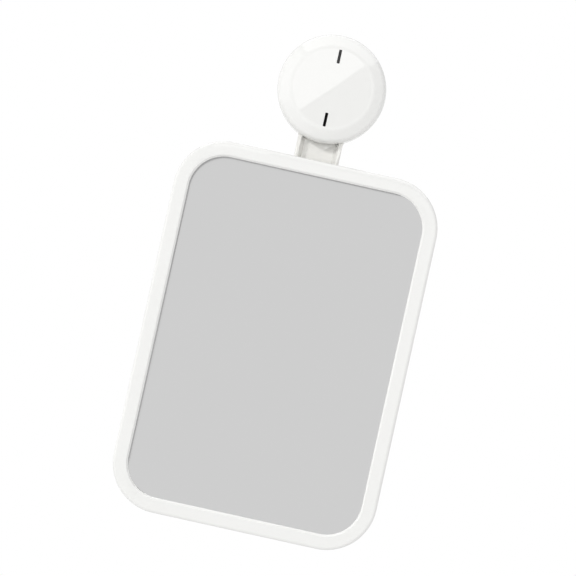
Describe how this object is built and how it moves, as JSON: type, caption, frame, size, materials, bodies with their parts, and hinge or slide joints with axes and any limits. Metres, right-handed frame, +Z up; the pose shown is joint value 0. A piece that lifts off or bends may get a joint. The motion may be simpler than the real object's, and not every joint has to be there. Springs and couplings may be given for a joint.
{
  "type": "suction cup mirror",
  "caption": "Portrait wall mirror in a white moulded frame, hung by a channel arm from a twist-lock suction mount, with a tilting hinge behind its upper edge.",
  "frame": {"origin": "centre of the suction disc's wall face, where it lies on the wall", "axes": "+Z up, +X to the right as seen from the front, +Y into the wall, so the mirror faces -Y"},
  "size_m": [0.195, 0.036, 0.3688],
  "materials": {
    "white_housing": "glossy white moulded ABS",
    "inner_plastic": "natural moulded acetal",
    "disc": "clear soft elastomer",
    "mirror": "silvered float glass",
    "foam": "grey closed-cell foam sheet",
    "steel": "zinc-plated and stainless steel",
    "friction_washer": "dark nylon"
  },
  "bodies": {
    "mount": {"arm_housing": "white_housing", "suction_disc": "disc", "cam_washer": "friction_washer", "hinge_bolt": "steel", "hinge_nut": "steel", "spring_washer": "steel", "hinge_washer_left": "friction_washer", "hinge_washer_right": "friction_washer"},
    "post": {"disc_post": "inner_plastic", "cross_pin": "steel"},
    "knob": {"knob_cover": "white_housing", "cam_ring": "inner_plastic"},
    "mirror": {"mirror_frame": "white_housing", "mirror_glass": "mirror", "backing_pad": "foam", "back_shell": "white_housing", "hinge_bracket": "inner_plastic", "frame_screw_1": "steel", "frame_screw_2": "steel", "frame_screw_3": "steel", "frame_screw_4": "steel", "frame_screw_5": "steel", "frame_screw_6": "steel", "frame_screw_7": "steel", "frame_screw_8": "steel", "bracket_screw_1": "steel", "bracket_screw_2": "steel", "bracket_screw_3": "steel", "bracket_screw_4": "steel"}
  },
  "joints": [
    {"name": "knob_turn", "type": "hinge", "parent": "mount", "child": "knob", "pos_m": [0, -0.0212, 0], "axis": [0, 1, 0], "range_deg": [0, 90]},
    {"name": "post_slide", "type": "slide", "parent": "mount", "child": "post", "axis": [0, -1, 0], "range_m": [0, 0.0035], "deforming": ["suction_disc"]},
    {"name": "mirror_tilt", "type": "hinge", "parent": "mount", "child": "mirror", "pos_m": [0, -0.015, -0.0739], "axis": [-1, 0, 0], "range_deg": [-5, 20]}
  ],
  "couplings": [
    {"joint": "post_slide", "follows": "knob_turn", "m_per_rad": 0.0022282}
  ]
}
